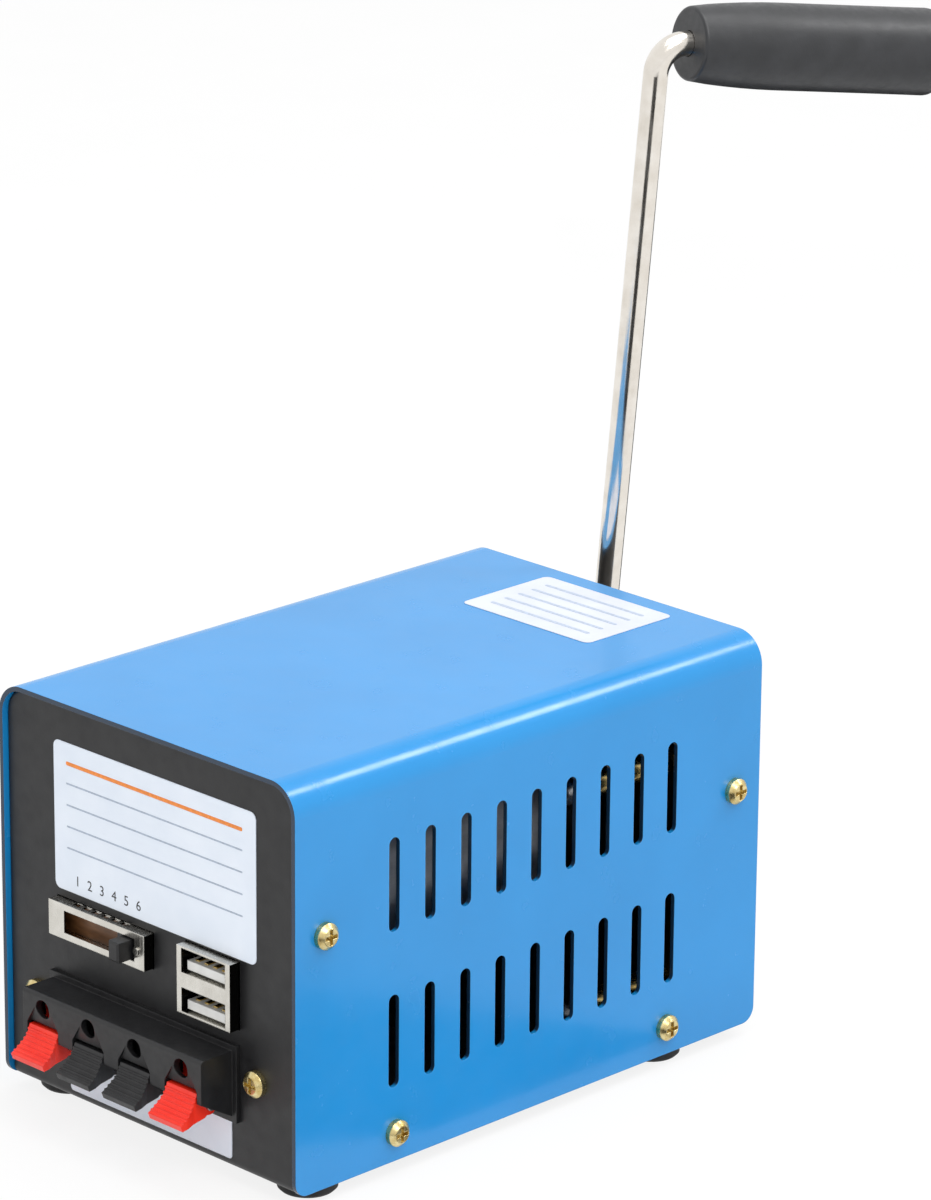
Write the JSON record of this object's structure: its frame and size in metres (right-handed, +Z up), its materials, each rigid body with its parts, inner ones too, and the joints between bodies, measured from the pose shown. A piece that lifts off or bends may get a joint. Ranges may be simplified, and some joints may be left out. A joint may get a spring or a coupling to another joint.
{
  "type": "hand crank generator",
  "caption": "Vented folded-steel box with a side-mounted bent rod crank at the rear, push-lever wire terminals, a slide switch and stacked USB sockets on the front panel.",
  "frame": {"origin": "middle of the base plate's underside, 3 mm above the table on the rubber feet", "axes": "+X to the right seen from the front panel, +Y from the front panel to the crank, +Z up"},
  "size_m": [0.0896, 0.2175, 0.2074],
  "materials": {
    "blue_paint": "gloss",
    "black_paint": "satin powder coat",
    "zinc_yellow": "yellow passivated zinc",
    "zinc_bright": "bright zinc",
    "chrome": "bright plated",
    "steel": "ground",
    "nickel": "nickel plated",
    "rubber": "matte",
    "black_plastic": "fine moulded",
    "red_plastic": "moulded",
    "grip_plastic": "fine moulded",
    "phenolic": "laminate",
    "white_plastic": "moulded",
    "green_board": "solder mask",
    "bronze": "sintered bronze",
    "brass": "turned",
    "gold": "plated contact",
    "copper": "enamelled wire and copper",
    "ferrite": "sintered",
    "iron": "laminated core",
    "aluminium": "extruded",
    "capacitor_sleeve": "sleeve",
    "gear_plastic": "moulded acetal"
  },
  "bodies": {
    "case": {"chassis": "black_paint", "top_cover": "blue_paint", "cover_screws": "zinc_yellow", "rubber_feet": "rubber", "foot_screws": "zinc_bright", "panel_screws": "zinc_yellow", "panel_nuts": "zinc_bright", "terminal_housing": "black_plastic", "terminal_bracket": "zinc_bright", "lever_pivot_pin": "steel", "terminal_contacts": "nickel", "switch_can": "nickel", "switch_base": "phenolic", "switch_pins": "nickel", "usb_shell": "nickel", "usb_insulator": "white_plastic", "usb_contacts": "gold", "circuit_board": "green_board", "board_standoffs": "brass", "inner_screws": "zinc_bright", "board_capacitors": "capacitor_sleeve", "board_inductor": "copper", "heat_sink": "aluminium", "board_regulator": "black_plastic", "board_chips": "black_plastic", "motor_can": "zinc_bright", "motor_end_cap": "black_plastic", "motor_bushes": "bronze", "motor_magnets": "ferrite", "motor_brushes": "ferrite", "motor_terminals": "brass", "motor_leads": "red_plastic", "short_screws": "zinc_bright", "gearbox_front_plate": "steel", "gearbox_rear_plate": "steel", "gearbox_pillars": "brass", "crank_bushes": "bronze", "lay_bushes": "bronze", "rear_bush": "bronze"},
    "crank": {"crank_shaft": "steel", "crank_gear": "gear_plastic", "shaft_collar": "steel", "collar_set_screw": "steel", "crank_rod": "chrome", "grip_clip": "steel"},
    "grip": {"crank_grip": "grip_plastic", "grip_end_cap": "grip_plastic"},
    "lay": {"lay_shaft": "steel", "lay_gear": "gear_plastic", "lay_pinion": "steel"},
    "rotor": {"motor_shaft": "steel", "motor_armature": "iron", "motor_windings": "copper", "motor_commutator": "copper", "motor_pinion": "brass"},
    "switch_slider": {"switch_knob": "black_plastic"},
    "lever_1": {"lever_red_left": "red_plastic"},
    "lever_2": {"lever_black_left": "black_plastic"},
    "lever_3": {"lever_black_right": "black_plastic"},
    "lever_4": {"lever_red_right": "red_plastic"}
  },
  "joints": [
    {"name": "crank_spin", "type": "hinge", "parent": "case", "child": "crank", "pos_m": [-0.016, 0, 0.044], "axis": [0, 1, 0], "continuous": true},
    {"name": "grip_spin", "type": "hinge", "parent": "crank", "child": "grip", "pos_m": [-0.00065, 0.0772, 0.19774], "axis": [0.3134, 0.9415, -0.1241], "continuous": true},
    {"name": "lay_spin", "type": "hinge", "parent": "case", "child": "lay", "pos_m": [0.00568, 0, 0.02965], "axis": [0, 1, 0], "continuous": true},
    {"name": "rotor_spin", "type": "hinge", "parent": "case", "child": "rotor", "pos_m": [0.01403, 0, 0.05], "axis": [0, 1, 0], "continuous": true},
    {"name": "switch_slide", "type": "slide", "parent": "case", "child": "switch_slider", "axis": [1, 0, 0], "range_m": [-0.015, 0]},
    {"name": "lever_1_push", "type": "hinge", "parent": "case", "child": "lever_1", "pos_m": [-0.02184, -0.0692, 0.0149], "axis": [1, 0, 0], "range_deg": [0, 18], "stiffness_Nm_per_rad": 0.02, "springref_deg": -11.46},
    {"name": "lever_2_push", "type": "hinge", "parent": "case", "child": "lever_2", "pos_m": [-0.00828, -0.0692, 0.0149], "axis": [1, 0, 0], "range_deg": [0, 18], "stiffness_Nm_per_rad": 0.02, "springref_deg": -11.46},
    {"name": "lever_3_push", "type": "hinge", "parent": "case", "child": "lever_3", "pos_m": [0.00528, -0.0692, 0.0149], "axis": [1, 0, 0], "range_deg": [0, 18], "stiffness_Nm_per_rad": 0.02, "springref_deg": -11.46},
    {"name": "lever_4_push", "type": "hinge", "parent": "case", "child": "lever_4", "pos_m": [0.01884, -0.0692, 0.0149], "axis": [1, 0, 0], "range_deg": [0, 18], "stiffness_Nm_per_rad": 0.02, "springref_deg": -11.46}
  ],
  "couplings": [
    {"joint": "lay_spin", "follows": "crank_spin", "ratio": -4},
    {"joint": "rotor_spin", "follows": "crank_spin", "ratio": 16}
  ]
}
